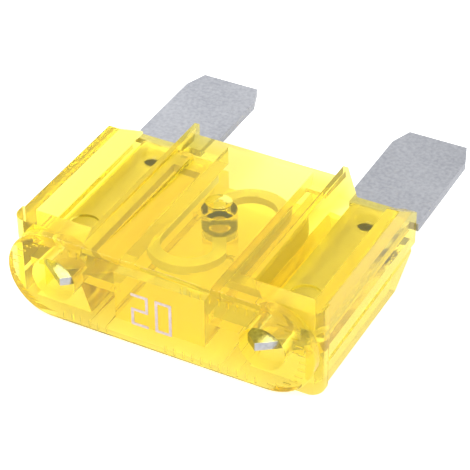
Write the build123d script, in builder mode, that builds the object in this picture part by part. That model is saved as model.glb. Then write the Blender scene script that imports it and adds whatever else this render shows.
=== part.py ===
from build123d import *
import os

os.makedirs("parts", exist_ok=True)

# Automotive blade fuse lying flat: X across the two blades, Y from the cap to the blade
# tips, Z through the thickness. The origin is the middle of the whole fuse.

# whole fuse
overall_length = 34.3
cap_width = 29.2
thickness = 8.6
front_y = -overall_length / 2

# cap: a flat plate with round ends in front of a square flange
plate_depth = 1.3
flange_depth = 1.8
flange_corner = 1.1
cap_edge_round = 0.35
face_setback = 0.1
face_y = front_y + face_setback
end_center_x = cap_width / 2 - thickness / 2

# plain raised dashes round the rim of the cap
dash_height = 0.65
dash_width = 0.16
dash_radius = 3.4
dash_pitch = 0.85
end_dash_count = 12
dash_runs = ((-7.3, 1, 5), (6.0, 1, 9), (-6.9, -1, 6), (5.2, -1, 11))
flange_y = front_y + plate_depth
body_y = flange_y + flange_depth

# body behind the cap
body_width = 28.8
body_end_y = front_y + 21.2
body_length = body_end_y - body_y
wall_inner_x = 13.25
floor_z = 1.4
rail_foot_x = 8.65
rail_top_x = 7.7
fin_inner_x = 7.2
rail_inner_x = 5.6
rail_end_y = front_y + 17.1
rail_end_z = 3.95
roof_end_z = 3.1
wall_slope_y = front_y + 17.2
wall_slope_z = 1.65
side_groove_z = -1.9
side_groove_size = 0.34

# hollow inside: the link chamber and the flat slot the metal slides into
chamber_half_x = 4.3
chamber_half_z = 2.45
chamber_y = front_y + 1.0
slot_half_x = 13.05
slot_half_z = 0.46
slot_y = front_y + 2.0

# round test openings in the cap
test_x = 9.95
test_radius = 2.1
test_depth = 3.0

# dimples over the blades and the two bosses that hold the link
stake_x = 10.75
stake_y = front_y + 18.45
stake_ball_radius = 1.18
stake_depth = 0.55
pad_radius = 0.7
mark_y = front_y + 6.6
mark_radius = 1.4
mark_depth = 0.25
boss_x = -0.4
boss_y = front_y + 12.2
boss_radius = 1.6
dimple_ball_radius = 1.25
boss_dimple_z = 2.75
pin_radius = 0.7

# metal: one flat stamping
metal_thickness = 0.8
blade_inner_x = 7.25
blade_outer_x = 14.6
tip_taper_x = 0.8
tip_taper_y = 2.2
shoulder_y = body_end_y + 0.05
tail_inner_x = 8.2
tail_outer_x = 12.9
tab_peak_x = 9.3
tab_peak_y = front_y + 0.1
tab_back_y = front_y + 2.7
link_width = 1.2
link_radius = 3.05
link_hole_radius = 0.78
link_pad_radius = 1.45
loop_x = 1.4
loop_y = 3.2
arm_y = 6.4

half_thick = thickness / 2
tip_y = front_y + overall_length
roof_drop = half_thick - roof_end_z
rail_drop = half_thick - rail_end_z
above = half_thick + 1

with BuildPart() as housing:
    # front plate with round ends
    with BuildSketch(Plane.XZ.offset(-face_y)):
        SlotOverall(cap_width, thickness)
    extrude(amount=-(plate_depth - face_setback))
    front_edges = housing.faces().sort_by(Axis.Y)[0].edges()
    fillet(front_edges, radius=cap_edge_round)

    # square flange with rounded front corners
    with BuildSketch(Plane.XY.offset(-half_thick)):
        with Locations((0, flange_y + flange_depth / 2)):
            Rectangle(cap_width, flange_depth)
        flange_corners = vertices().group_by(Axis.Y)[0]
        fillet(flange_corners, radius=flange_corner)
    extrude(amount=thickness)

    # block the body is formed from
    with Locations((0, (body_y + body_end_y) / 2, 0)):
        Box(body_width, body_length, thickness)

    # a channel over each blade, above and below
    for side in (-1, 1):
        for face in (-1, 1):
            with BuildSketch(Plane.XZ.offset(-body_y)):
                with BuildLine():
                    Polyline(
                        (side * wall_inner_x, face * floor_z),
                        (side * rail_foot_x, face * floor_z),
                        (side * rail_top_x, face * half_thick),
                        (side * rail_top_x, face * above),
                        (side * wall_inner_x, face * above),
                        close=True,
                    )
                make_face()
            extrude(amount=-(body_length + 1), mode=Mode.SUBTRACT)

    # sloping roof of the link chamber, falling towards the blades
    for face in (-1, 1):
        with BuildSketch(Plane.YZ):
            with BuildLine():
                Polyline(
                    (flange_y, face * half_thick),
                    (body_end_y, face * roof_end_z),
                    (body_end_y + 1, face * roof_end_z),
                    (body_end_y + 1, face * above),
                    (flange_y, face * above),
                    close=True,
                )
            make_face()
        extrude(amount=rail_inner_x, both=True, mode=Mode.SUBTRACT)

    # rails beside the roof: slightly sloping, and cut short of the end of the body
    rail_end_roof_z = half_thick - roof_drop * (rail_end_y - flange_y) / (body_end_y - flange_y)
    for face in (-1, 1):
        for side in (-1, 1):
            with BuildSketch(Plane.YZ.offset(side * (rail_inner_x + fin_inner_x) / 2)):
                with BuildLine():
                    Polyline(
                        (flange_y, face * half_thick),
                        (rail_end_y, face * rail_end_z),
                        (rail_end_y, face * rail_end_roof_z),
                        (body_end_y, face * roof_end_z),
                        (body_end_y + 1, face * roof_end_z),
                        (body_end_y + 1, face * above),
                        (flange_y, face * above),
                        close=True,
                    )
                make_face()
            extrude(amount=(fin_inner_x - rail_inner_x) / 2, both=True, mode=Mode.SUBTRACT)

    # outer walls slope down to the blades at the back
    for face in (-1, 1):
        for side in (-1, 1):
            with BuildSketch(Plane.YZ.offset(side * (wall_inner_x + cap_width / 2) / 2)):
                with BuildLine():
                    Polyline(
                        (wall_slope_y, face * half_thick),
                        (body_end_y, face * wall_slope_z),
                        (body_end_y + 1, face * wall_slope_z),
                        (body_end_y + 1, face * above),
                        (wall_slope_y, face * above),
                        close=True,
                    )
                make_face()
            extrude(amount=(cap_width / 2 - wall_inner_x) / 2, both=True, mode=Mode.SUBTRACT)

    # narrow groove along each side
    groove_length = body_end_y - body_y
    for side in (-1, 1):
        with Locations((side * body_width / 2, body_y + groove_length / 2, side_groove_z)):
            Box(side_groove_size, groove_length, side_groove_size, rotation=(0, 45, 0), mode=Mode.SUBTRACT)

    # link chamber, open towards the blades
    chamber_length = body_end_y + 1 - chamber_y
    with Locations((0, chamber_y + chamber_length / 2, 0)):
        Box(2 * chamber_half_x, chamber_length, 2 * chamber_half_z, mode=Mode.SUBTRACT)

    # bosses from roof and floor that meet on the link, with a dimple over each outside
    with BuildSketch(Plane.XY.offset(-chamber_half_z - 0.2)):
        with Locations((boss_x, boss_y)):
            Circle(boss_radius)
    extrude(amount=2 * chamber_half_z + 0.4)

    # flat slot for the metal, open towards the blades
    slot_length = body_end_y + 1 - slot_y
    with Locations((0, slot_y + slot_length / 2, 0)):
        Box(2 * slot_half_x, slot_length, 2 * slot_half_z, mode=Mode.SUBTRACT)

    # lower half of each boss reaches the metal, and a pin passes through the link
    for face in (-1, 1):
        with BuildSketch(Plane.XY.offset(face * metal_thickness / 2)):
            with Locations((boss_x, boss_y)):
                Circle(boss_radius)
        extrude(amount=face * (slot_half_z - metal_thickness / 2))
    with BuildSketch(Plane.XY.offset(-slot_half_z)):
        with Locations((boss_x, boss_y)):
            Circle(pin_radius)
    extrude(amount=2 * slot_half_z)
    for face in (-1, 1):
        with Locations((boss_x, boss_y, face * (boss_dimple_z + dimple_ball_radius))):
            Sphere(dimple_ball_radius, mode=Mode.SUBTRACT)

    # dimples that pinch the blades, and round marks by the flange
    for side in (-1, 1):
        for face in (-1, 1):
            with Locations((side * stake_x, stake_y, face * (floor_z - stake_depth + stake_ball_radius))):
                Sphere(stake_ball_radius, mode=Mode.SUBTRACT)
            with BuildSketch(Plane.XY.offset(face * metal_thickness / 2)):
                with Locations((side * stake_x, stake_y)):
                    Circle(pad_radius)
            extrude(amount=face * (slot_half_z - metal_thickness / 2))
            with BuildSketch(Plane.XY.offset(face * floor_z)):
                with Locations((side * stake_x, mark_y)):
                    Circle(mark_radius)
            extrude(amount=-face * mark_depth, mode=Mode.SUBTRACT)

    # raised dashes round both ends and along the long edges of the cap
    with BuildSketch(Plane.XZ.offset(-front_y)):
        for side in (-1, 1):
            with Locations((side * end_center_x, 0)):
                with PolarLocations(dash_radius, end_dash_count, -80 if side > 0 else 100, 160, False):
                    Rectangle(dash_height, dash_width)
        for run_x, face, count in dash_runs:
            with Locations((run_x, face * dash_radius)):
                with GridLocations(dash_pitch, 0, count, 1):
                    Rectangle(dash_width, dash_height)
    extrude(amount=-2 * face_setback)

    # test openings in the cap
    with BuildSketch(Plane.XZ.offset(-front_y)):
        with Locations((-test_x, 0), (test_x, 0)):
            Circle(test_radius)
    extrude(amount=-test_depth, mode=Mode.SUBTRACT)

housing.part.label = "housing"
export_step(housing.part, "parts/housing.step")

with BuildPart() as fuse_element:
    # the two blades with their tails inside the housing
    for side in (-1, 1):
        with BuildSketch(Plane.XY):
            with BuildLine():
                Polyline(
                    (side * blade_inner_x, shoulder_y),
                    (side * blade_inner_x, tip_y - tip_taper_y),
                    (side * (blade_inner_x + tip_taper_x), tip_y),
                    (side * (blade_outer_x - tip_taper_x), tip_y),
                    (side * blade_outer_x, tip_y - tip_taper_y),
                    (side * blade_outer_x, shoulder_y),
                    (side * tail_outer_x, shoulder_y),
                    (side * tail_outer_x, tab_back_y),
                    (side * tab_peak_x, tab_peak_y),
                    (side * tail_inner_x, tab_peak_y + 0.9),
                    (side * tail_inner_x, shoulder_y),
                    close=True,
                )
            make_face()
        extrude(amount=metal_thickness / 2, both=True)

    # the thin link between them, bent like a letter S about the boss
    with BuildSketch(Plane.XY):
        with Locations((boss_x, boss_y)):
            Circle(link_pad_radius)
        with BuildLine():
            for turn in (-1, 1):
                Polyline(
                    (boss_x, boss_y),
                    (boss_x + turn * (loop_x - link_radius), boss_y + turn * loop_y),
                )
                ThreePointArc(
                    (boss_x + turn * (loop_x - link_radius), boss_y + turn * loop_y),
                    (boss_x + turn * loop_x, boss_y + turn * (loop_y + link_radius)),
                    (boss_x + turn * (loop_x + link_radius), boss_y + turn * loop_y),
                )
                Polyline(
                    (boss_x + turn * (loop_x + link_radius), boss_y + turn * loop_y),
                    (boss_x + turn * (loop_x + link_radius), boss_y - turn * arm_y),
                    (turn * (tail_inner_x + 0.4), boss_y - turn * arm_y),
                )
        trace(line_width=link_width)
        with Locations((boss_x, boss_y)):
            Circle(link_hole_radius, mode=Mode.SUBTRACT)
    extrude(amount=metal_thickness / 2, both=True)

fuse_element.part.label = "fuse_element"
export_step(fuse_element.part, "parts/fuse_element.step")
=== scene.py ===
import bpy
from mathutils import Matrix, Vector


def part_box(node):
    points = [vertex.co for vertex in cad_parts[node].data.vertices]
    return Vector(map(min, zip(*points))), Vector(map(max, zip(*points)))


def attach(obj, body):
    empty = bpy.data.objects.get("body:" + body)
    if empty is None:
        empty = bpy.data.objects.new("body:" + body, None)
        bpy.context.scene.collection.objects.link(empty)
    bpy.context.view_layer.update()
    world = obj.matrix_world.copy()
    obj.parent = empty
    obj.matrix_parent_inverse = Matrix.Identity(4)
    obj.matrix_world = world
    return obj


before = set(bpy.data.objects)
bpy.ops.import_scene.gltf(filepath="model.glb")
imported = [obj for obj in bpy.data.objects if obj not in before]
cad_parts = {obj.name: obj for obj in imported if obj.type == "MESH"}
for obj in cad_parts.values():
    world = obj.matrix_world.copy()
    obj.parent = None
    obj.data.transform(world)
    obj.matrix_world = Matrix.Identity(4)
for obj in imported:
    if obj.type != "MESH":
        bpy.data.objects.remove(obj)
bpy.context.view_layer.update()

print("frame loaded")

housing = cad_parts["housing"]
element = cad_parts["fuse_element"]
housingLow, housingHigh = (Vector(c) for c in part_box("housing"))
frontY = housingLow.y
topZ = housingHigh.z


class NodeKit:
    def __init__(self, owner):
        self.owner = owner
        owner.use_nodes = True
        self.tree = owner.node_tree
        self.tree.nodes.clear()

    # one place that makes every node: its type, its settings, then its sockets
    def add(self, kind, settings=None, **sockets):
        node = self.tree.nodes.new(kind)
        for key, value in (settings or {}).items():
            if key == "stops":
                ramp = node.color_ramp
                while len(ramp.elements) < len(value):
                    ramp.elements.new(0.5)
                for element_, (place, colour) in zip(ramp.elements, value):
                    element_.position = place
                    element_.color = colour
            else:
                setattr(node, key, value)
        for key, value in sockets.items():
            wanted = int(key[2:]) if key.startswith("in") and key[2:].isdigit() else key.replace("_", " ")
            socket = node.inputs[wanted]
            if isinstance(value, Signal):
                value = value.socket
            if isinstance(value, bpy.types.NodeSocket):
                self.tree.links.new(value, socket)
            else:
                socket.default_value = value
        return node

    def signal(self, socket):
        return Signal(self, socket)


class Signal:
    def __init__(self, kit, socket):
        self.kit = kit
        self.socket = socket

    def combine(self, operation, other, flip=False):
        a, b = (other, self) if flip else (self, other)
        node = self.kit.add("ShaderNodeMath", {"operation": operation}, in0=a, in1=b)
        return Signal(self.kit, node.outputs[0])

    def __add__(self, other):
        return self.combine("ADD", other)

    def __radd__(self, other):
        return self.combine("ADD", other, True)

    def __sub__(self, other):
        return self.combine("SUBTRACT", other)

    def __rsub__(self, other):
        return self.combine("SUBTRACT", other, True)

    def __mul__(self, other):
        return self.combine("MULTIPLY", other)

    def __rmul__(self, other):
        return self.combine("MULTIPLY", other, True)


def plasticMaterial():
    look = {
        "tint": (1.0, 0.895, 0.30, 1),
        "throughColour": (0.99, 0.933, 0.06, 1),
        "throughDensity": 250.0,
        "roughness": 0.03,
        "ior": 1.17,
        "clarity": 0.86,
    }
    kit = NodeKit(bpy.data.materials.new("clearYellowPlastic"))
    coords = kit.add("ShaderNodeTexCoord")
    flow = kit.add("ShaderNodeTexNoise", {"noise_dimensions": "3D"},
                   Vector=coords.outputs["Object"], Scale=260.0, Detail=2.0, Roughness=0.5)
    flowLevel = kit.signal(flow.outputs["Fac"])
    bump = kit.add("ShaderNodeBump", None, Strength=0.12, Distance=0.00004, Height=flowLevel)
    shader = kit.add("ShaderNodeBsdfPrincipled", None, Base_Color=look["tint"],
                     Roughness=flowLevel * 0.04 + look["roughness"] - 0.02,
                     IOR=look["ior"], Transmission_Weight=look["clarity"], Normal=bump.outputs["Normal"])
    absorb = kit.add("ShaderNodeVolumeAbsorption", None, Color=look["throughColour"], Density=look["throughDensity"])
    kit.add("ShaderNodeOutputMaterial", None, Surface=shader.outputs[0], Volume=absorb.outputs[0])
    return kit.owner


def metalMaterial():
    look = {
        "light": (0.43, 0.44, 0.47, 1),
        "dark": (0.32, 0.33, 0.365, 1),
        "clean": (0.74, 0.74, 0.72, 1),    # painted light: the metal inside the housing gets a brighter base colour in place of the light the clear plastic keeps from it
        "cleanFrom": (0.0042, 0.0038),
        "cleanTo": (-0.0142, -0.0138),    # the painted light ends here; the tabs in the test openings are bare and shinier
        "roughness": 0.42,
    }
    kit = NodeKit(bpy.data.materials.new("platedZinc"))
    coords = kit.add("ShaderNodeTexCoord")
    mottle = kit.add("ShaderNodeTexNoise", {"noise_dimensions": "3D"},
                     Vector=coords.outputs["Object"], Scale=3000.0, Detail=3.0, Roughness=0.6)
    cloud = kit.add("ShaderNodeTexNoise", {"noise_dimensions": "3D"},
                    Vector=coords.outputs["Object"], Scale=160.0, Detail=2.0, Roughness=0.5)
    level = kit.signal(mottle.outputs["Fac"]) * 0.75 + kit.signal(cloud.outputs["Fac"]) * 0.25
    colour = kit.add("ShaderNodeValToRGB", {"stops": [(0.36, look["dark"]), (0.62, look["light"])]}, Fac=level)
    place = kit.add("ShaderNodeSeparateXYZ", None, Vector=coords.outputs["Object"])
    ends = [kit.add("ShaderNodeMapRange", None, Value=place.outputs["Y"], From_Min=low, From_Max=high)
            for low, high in (look["cleanFrom"], look["cleanTo"])]
    behindTabs = kit.signal(ends[1].outputs["Result"])
    # painted light: mask of the metal inside the housing, between the two ends above
    paintedLitInside = kit.signal(ends[0].outputs["Result"]) * behindTabs
    tab = 1 - behindTabs
    # painted light: the brighter base colour is mixed over the mottled metal inside the housing
    toned = kit.add("ShaderNodeMix", {"data_type": "RGBA"}, Factor=paintedLitInside,
                    in6=colour.outputs["Color"], in7=look["clean"])
    bump = kit.add("ShaderNodeBump", None, Strength=0.35, Distance=0.00003, Height=level)
    shader = kit.add("ShaderNodeBsdfPrincipled", None, Base_Color=toned.outputs[2], Metallic=tab * 0.3 + 0.7,
                     Roughness=level * 0.25 + look["roughness"] - tab * 0.35, Normal=bump.outputs["Normal"])
    kit.add("ShaderNodeOutputMaterial", None, Surface=shader.outputs[0])
    return kit.owner


def inkMaterial():
    kit = NodeKit(bpy.data.materials.new("silverInk"))
    coords = kit.add("ShaderNodeTexCoord")
    grain = kit.add("ShaderNodeTexNoise", {"noise_dimensions": "3D"},
                    Vector=coords.outputs["Object"], Scale=2500.0, Detail=3.0, Roughness=0.6)
    level = kit.signal(grain.outputs["Fac"])
    colour = kit.add("ShaderNodeValToRGB",
                     {"stops": [(0.3, (0.62, 0.50, 0.50, 1)), (0.7, (0.78, 0.66, 0.68, 1))]}, Fac=level)
    shader = kit.add("ShaderNodeBsdfPrincipled", None, Base_Color=colour.outputs["Color"], Metallic=0.3,
                     Roughness=level * 0.2 + 0.4)
    kit.add("ShaderNodeOutputMaterial", None, Surface=shader.outputs[0])
    return kit.owner


plastic = plasticMaterial()
metal = metalMaterial()
ink = inkMaterial()
print("materials made")


for node, material in ((housing, plastic), (element, metal)):
    for slotIndex in range(len(node.material_slots)):
        node.material_slots[slotIndex].material = material


# the printed rating: plain strokes of ink on the front of the cap
rating = {
    "strokeWidth": 0.00026,
    "inkHeight": 0.00005,
    "inkSunk": 0.00001,
    "faceSetback": 0.0001,     # the dashes round the rim stand this far in front of the face
    "bottomZ": -0.0019,
    "topZ": 0.0014,
    "cornerRound": 0.00007,
    "two": {"left": -0.0023, "right": -0.00066, "open": [(0, 3), (1, 3), (1, 1), (2, 1)]},
    "zero": {"left": 0.0, "right": 0.00157, "open": [(1, 1), (1, 2), (1, 3)]},
}


def ratingDigit(name, shape):
    stroke = rating["strokeWidth"]
    middle = (rating["bottomZ"] + rating["topZ"]) / 2
    acrossLines = [shape["left"], shape["left"] + stroke, shape["right"] - stroke, shape["right"]]
    upLines = [rating["bottomZ"], rating["bottomZ"] + stroke, middle - stroke / 2, middle + stroke / 2,
               rating["topZ"] - stroke, rating["topZ"]]
    bpy.ops.object.select_all(action="DESELECT")
    bpy.ops.mesh.primitive_grid_add(x_subdivisions=3, y_subdivisions=5, size=2, location=(0, 0, 0))
    piece = bpy.context.object
    piece.name = name
    mesh = piece.data
    columns = sorted({round(v.co.x, 4) for v in mesh.vertices})
    rows = sorted({round(v.co.y, 4) for v in mesh.vertices})
    for v in mesh.vertices:
        column = columns.index(round(v.co.x, 4))
        row = rows.index(round(v.co.y, 4))
        v.co = (acrossLines[column], frontY + rating["faceSetback"] + rating["inkSunk"], upLines[row])
    bpy.ops.object.mode_set(mode="EDIT")
    bpy.ops.mesh.select_mode(type="FACE")
    bpy.ops.mesh.select_all(action="DESELECT")
    bpy.ops.object.mode_set(mode="OBJECT")
    for face in mesh.polygons:    # the cells between the strokes
        column = sum(face.center.x > line for line in acrossLines) - 1
        row = sum(face.center.z > line for line in upLines) - 1
        face.select = (column, row) in shape["open"]
    bpy.ops.object.mode_set(mode="EDIT")
    bpy.ops.mesh.delete(type="FACE")
    bpy.ops.mesh.select_all(action="SELECT")
    bpy.ops.mesh.dissolve_limited(angle_limit=0.01)
    bpy.ops.object.mode_set(mode="OBJECT")
    thick = piece.modifiers.new("thick", "SOLIDIFY")
    thick.thickness = rating["inkHeight"]
    thick.offset = 1
    bpy.ops.object.modifier_apply(modifier="thick")
    rounded = piece.modifiers.new("rounded", "BEVEL")
    rounded.width = rating["cornerRound"]
    rounded.segments = 2
    rounded.affect = "EDGES"
    rounded.limit_method = "WEIGHT"
    weights = mesh.attributes.new("bevel_weight_edge", "FLOAT", "EDGE")
    for edge in mesh.edges:
        start, end = (mesh.vertices[i].co for i in edge.vertices)
        weights.data[edge.index].value = 1.0 if abs(start.y - end.y) > rating["inkHeight"] / 2 else 0.0
    bpy.ops.object.modifier_apply(modifier="rounded")
    mesh.materials.append(ink)
    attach(piece, "root")
    return piece


ratingDigit("rating_two", rating["two"])
ratingDigit("rating_zero", rating["zero"])
print("rating printed")

# floor and light
studio = {
    "floorSize": 3.0,
    "floorGlow": 0.62,
    "floorColour": (0.9, 0.9, 0.9, 1),
    "worldLevel": 0.7,
    "floorGap": 0.00002,
    "keyLamp": {"place": (-0.18, 0.10, 0.30), "size": 0.16, "power": 0.8},
    "fillLamp": {"place": (0.22, -0.30, 0.20), "size": 0.25, "power": 0.4},
}


def floorMaterial():
    kit = NodeKit(bpy.data.materials.new("paleFloor"))
    rays = kit.add("ShaderNodeLightPath")
    seen = kit.add("ShaderNodeMath", {"operation": "MAXIMUM"}, in0=rays.outputs["Is Camera Ray"],
                   in1=rays.outputs["Is Glossy Ray"])
    seenAll = kit.add("ShaderNodeMath", {"operation": "MAXIMUM"}, in0=seen.outputs[0],
                      in1=rays.outputs["Is Transmission Ray"])
    diffuse = kit.add("ShaderNodeBsdfDiffuse", None, Color=studio["floorColour"])
    glow = kit.add("ShaderNodeEmission", None, Color=(1, 1, 1, 1),
                   Strength=kit.signal(seenAll.outputs[0]) * studio["floorGlow"])
    both = kit.add("ShaderNodeAddShader", None, in0=diffuse.outputs[0], in1=glow.outputs[0])
    kit.add("ShaderNodeOutputMaterial", None, Surface=both.outputs[0])
    return kit.owner


bpy.ops.object.select_all(action="DESELECT")
bpy.ops.mesh.primitive_plane_add(size=studio["floorSize"], location=(0, 0, -topZ - studio["floorGap"]))
floor = bpy.context.object
floor.name = "floor"
bpy.ops.object.transform_apply(location=True, rotation=True, scale=True)
floor.data.materials.append(floorMaterial())

def studioWorld():
    kit = NodeKit(bpy.data.worlds.new("studioWorld"))
    rays = kit.add("ShaderNodeLightPath")
    seen = kit.add("ShaderNodeMath", {"operation": "MAXIMUM"}, in0=rays.outputs["Is Camera Ray"],
                   in1=rays.outputs["Is Transmission Ray"])
    level = kit.add("ShaderNodeMapRange", None, Value=seen.outputs[0], To_Min=studio["worldLevel"], To_Max=1.0)
    glow = kit.add("ShaderNodeBackground", None, Color=(1, 1, 1, 1), Strength=level.outputs["Result"])
    kit.add("ShaderNodeOutputWorld", None, Surface=glow.outputs[0])
    return kit.owner


bpy.context.scene.world = studioWorld()


def areaLamp(name, place, size, power):
    lampData = bpy.data.lights.new(name, "AREA")
    lampData.shape = "SQUARE"
    lampData.size = size
    lampData.energy = power
    lamp = bpy.data.objects.new(name, lampData)
    bpy.context.collection.objects.link(lamp)
    lamp.location = place
    lamp.rotation_mode = "QUATERNION"
    lamp.rotation_quaternion = Vector(place).to_track_quat("Z", "Y")
    return lamp


for name in ("keyLamp", "fillLamp"):
    areaLamp(name, **studio[name])

viewpoint = {
    "lens": 150.28,
    "sensorWidth": 36,
    "place": (0.06526, -0.12605, 0.10262),
    "right": (0.884971, 0.465634, -0.003460),
    "up": (-0.275677, 0.529905, 0.801999),
    "away": (0.375272, -0.708792, 0.597315),
}
cameraData = bpy.data.cameras.new("camera")
cameraData.sensor_width = viewpoint["sensorWidth"]
cameraData.lens = viewpoint["lens"]
cameraData.clip_start = 0.01
cameraData.clip_end = 10
camera = bpy.data.objects.new("camera", cameraData)
bpy.context.collection.objects.link(camera)
axes = (viewpoint["right"], viewpoint["up"], viewpoint["away"], viewpoint["place"])
camera.matrix_world = Matrix([[axis[row] for axis in axes] for row in range(3)] + [[0, 0, 0, 1]])
bpy.context.scene.camera = camera
bpy.context.scene.view_settings.view_transform = "Standard"
bpy.context.scene.cycles.max_bounces = 40    # light crosses many walls of the clear plastic
bpy.context.scene.cycles.transmission_bounces = 40
bpy.context.scene.cycles.glossy_bounces = 12
print("studio ready")
